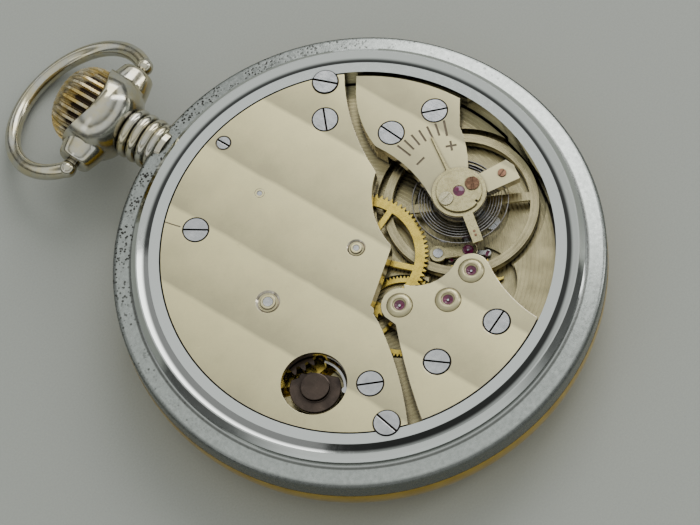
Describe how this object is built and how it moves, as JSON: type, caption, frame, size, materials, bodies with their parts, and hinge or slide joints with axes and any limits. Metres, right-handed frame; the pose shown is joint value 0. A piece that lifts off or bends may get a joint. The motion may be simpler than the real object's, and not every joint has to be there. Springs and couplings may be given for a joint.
{
  "type": "open face pocket watch",
  "caption": "Open face pocket watch with its snap back off: striped bridges, balance, wheel train, keyless winding, enamelled dial, pendant with crown and bow.",
  "frame": {"origin": "centre of the crystal's flat outer face, on the movement's axis", "axes": "+Z from the dial towards the open back, +Y towards the crown, +X to the right of the crown seen from the back"},
  "size_m": [0.0502, 0.0693, 0.0115],
  "materials": {
    "case_nickel": "polished",
    "pendant_nickel": "polished, tarnished",
    "bezel_gold": "polished gold",
    "crown_gold": "worn gold plate",
    "crystal_glass": "clear",
    "bridge_nickel": "striped and rhodiumed",
    "plate_nickel": "grained",
    "screw_steel": "polished",
    "steel": "grained",
    "dark_steel": "dark polished",
    "ruby": "polished stone",
    "gilt_ring": "polished",
    "train_brass": "gilt",
    "balance_gilt": "satin gilt",
    "spring_steel": "satin",
    "bronze_screw": "aged",
    "enamel": "glossy",
    "blued_steel": "blued"
  },
  "bodies": {
    "case": {"case_middle": "case_nickel", "bezel": "bezel_gold", "crystal": "crystal_glass", "pendant": "pendant_nickel", "case_screws": "screw_steel", "main_plate": "plate_nickel", "barrel_bridge": "bridge_nickel", "train_bridge": "bridge_nickel", "balance_cock": "bridge_nickel", "pallet_cock": "screw_steel", "bridge_screws": "screw_steel", "setting_lever_screw": "screw_steel", "jewel_settings": "gilt_ring", "bridge_jewels": "ruby", "plate_jewels": "ruby", "click_spring": "screw_steel", "hairspring": "spring_steel", "hairspring_stud": "bronze_screw", "endstone_cap": "gilt_ring", "cap_jewel": "ruby", "cap_screws": "bronze_screw", "dial": "enamel"},
    "bow": {"bow": "pendant_nickel"},
    "winder": {"winding_pinion": "steel"},
    "stem": {"stem": "steel", "crown": "crown_gold"},
    "clutch": {"sliding_clutch": "steel"},
    "crown_wheel": {"crown_wheel": "steel"},
    "ratchet": {"ratchet_wheel": "dark_steel", "barrel_arbor": "steel"},
    "barrel": {"barrel_drum": "train_brass", "barrel_cover": "train_brass", "mainspring": "spring_steel"},
    "click": {"click": "dark_steel"},
    "center": {"center_wheel": "train_brass", "center_arbor": "steel"},
    "third": {"third_wheel": "train_brass", "third_arbor": "steel"},
    "fourth": {"fourth_wheel": "train_brass", "fourth_arbor": "steel", "seconds_hand": "blued_steel"},
    "escape": {"escape_wheel": "train_brass", "escape_arbor": "steel"},
    "pallet": {"pallet_fork": "steel", "pallet_stones": "ruby"},
    "balance": {"balance_wheel": "balance_gilt", "balance_staff": "steel", "roller_table": "steel", "impulse_jewel": "ruby"},
    "regulator": {"regulator": "gilt_ring", "curb_pins": "bronze_screw"},
    "setting_lever": {"setting_lever": "steel"},
    "yoke": {"yoke": "steel"},
    "setting_wheel": {"setting_wheel": "train_brass"},
    "cannon": {"cannon_pinion": "steel", "minute_hand": "blued_steel"},
    "minute_wheel": {"minute_wheel": "train_brass"},
    "hour": {"hour_wheel": "train_brass", "hour_hand": "blued_steel"}
  },
  "joints": [
    {"name": "bow_swing", "type": "hinge", "parent": "case", "child": "bow", "pos_m": [0, 0.03195, 0.0068], "axis": [1, 0, 0], "range_deg": [-0.2, 165]},
    {"name": "winding_turn", "type": "hinge", "parent": "case", "child": "winder", "pos_m": [0, 0.016, 0.0068], "axis": [0, 1, 0], "continuous": true},
    {"name": "stem_pull", "type": "slide", "parent": "winder", "child": "stem", "axis": [0, 1, 0], "range_m": [0, 0.001]},
    {"name": "clutch_slide", "type": "slide", "parent": "winder", "child": "clutch", "axis": [0, 1, 0], "range_m": [-0.0008, 0]},
    {"name": "setting_lever_swing", "type": "hinge", "parent": "case", "child": "setting_lever", "pos_m": [0.0028, 0.0183, 0.004], "axis": [0, 0, 1], "range_deg": [-26, 0]},
    {"name": "yoke_swing", "type": "hinge", "parent": "case", "child": "yoke", "pos_m": [0.0046, 0.0125, 0.004], "axis": [0, 0, 1], "range_deg": [0, 12.8]},
    {"name": "crown_wheel_turn", "type": "hinge", "parent": "case", "child": "crown_wheel", "pos_m": [0, 0.01185, 0.0086], "axis": [0, 0, 1], "continuous": true},
    {"name": "ratchet_turn", "type": "hinge", "parent": "case", "child": "ratchet", "pos_m": [-0.0095, 0.0043, 0.0086], "axis": [0, 0, 1], "continuous": true},
    {"name": "click_swing", "type": "hinge", "parent": "case", "child": "click", "pos_m": [-0.0144, -0.0046, 0.0085], "axis": [0, 0, 1], "range_deg": [0, 8]},
    {"name": "seconds_turn", "type": "hinge", "parent": "case", "child": "fourth", "pos_m": [0, -0.011, 0.007], "axis": [0, 0, 1], "continuous": true},
    {"name": "escape_turn", "type": "hinge", "parent": "case", "child": "escape", "pos_m": [0.00385, -0.01125, 0.007], "axis": [0, 0, 1], "continuous": true},
    {"name": "third_turn", "type": "hinge", "parent": "case", "child": "third", "pos_m": [-0.003, -0.0072, 0.007], "axis": [0, 0, 1], "continuous": true},
    {"name": "center_turn", "type": "hinge", "parent": "case", "child": "center", "pos_m": [0, 0, 0.0078], "axis": [0, 0, 1], "continuous": true},
    {"name": "barrel_turn", "type": "hinge", "parent": "case", "child": "barrel", "pos_m": [-0.0095, 0.0043, 0.0064], "axis": [0, 0, 1], "continuous": true},
    {"name": "minute_hand_turn", "type": "hinge", "parent": "case", "child": "cannon", "pos_m": [0, 0, 0.004], "axis": [0, 0, 1], "continuous": true},
    {"name": "minute_wheel_turn", "type": "hinge", "parent": "case", "child": "minute_wheel", "pos_m": [0, 0.0036, 0.004], "axis": [0, 0, 1], "continuous": true},
    {"name": "hour_hand_turn", "type": "hinge", "parent": "case", "child": "hour", "pos_m": [0, 0, 0.0038], "axis": [0, 0, 1], "continuous": true},
    {"name": "setting_wheel_turn", "type": "hinge", "parent": "case", "child": "setting_wheel", "pos_m": [0, 0.0081, 0.0042], "axis": [0, 0, 1], "continuous": true},
    {"name": "pallet_swing", "type": "hinge", "parent": "case", "child": "pallet", "pos_m": [0.00665, -0.00883, 0.0064], "axis": [0, 0, 1], "range_deg": [-5, 5]},
    {"name": "balance_swing", "type": "hinge", "parent": "case", "child": "balance", "pos_m": [0.01045, -0.00555, 0.0072], "axis": [0, 0, 1], "range_deg": [-270, 270], "stiffness_Nm_per_rad": 0.000004},
    {"name": "regulator_swing", "type": "hinge", "parent": "case", "child": "regulator", "pos_m": [0.01045, -0.00555, 0.0101], "axis": [0, 0, 1], "range_deg": [-20, 20]}
  ],
  "couplings": [
    {"joint": "clutch_slide", "follows": "stem_pull", "ratio": -0.8},
    {"joint": "setting_lever_swing", "follows": "stem_pull", "rad_per_m": -453.79},
    {"joint": "yoke_swing", "follows": "stem_pull", "rad_per_m": 223.4},
    {"joint": "crown_wheel_turn", "follows": "winding_turn", "ratio": -0.5},
    {"joint": "ratchet_turn", "follows": "winding_turn", "ratio": 0.29167},
    {"joint": "escape_turn", "follows": "seconds_turn", "ratio": -10},
    {"joint": "third_turn", "follows": "seconds_turn", "ratio": -0.13333},
    {"joint": "center_turn", "follows": "seconds_turn", "ratio": 0.016667},
    {"joint": "barrel_turn", "follows": "seconds_turn", "ratio": -0.0027778},
    {"joint": "minute_hand_turn", "follows": "seconds_turn", "ratio": 0.016667},
    {"joint": "minute_wheel_turn", "follows": "seconds_turn", "ratio": -0.0055556},
    {"joint": "hour_hand_turn", "follows": "seconds_turn", "ratio": 0.0013889},
    {"joint": "setting_wheel_turn", "follows": "seconds_turn", "ratio": 0.0083333}
  ]
}
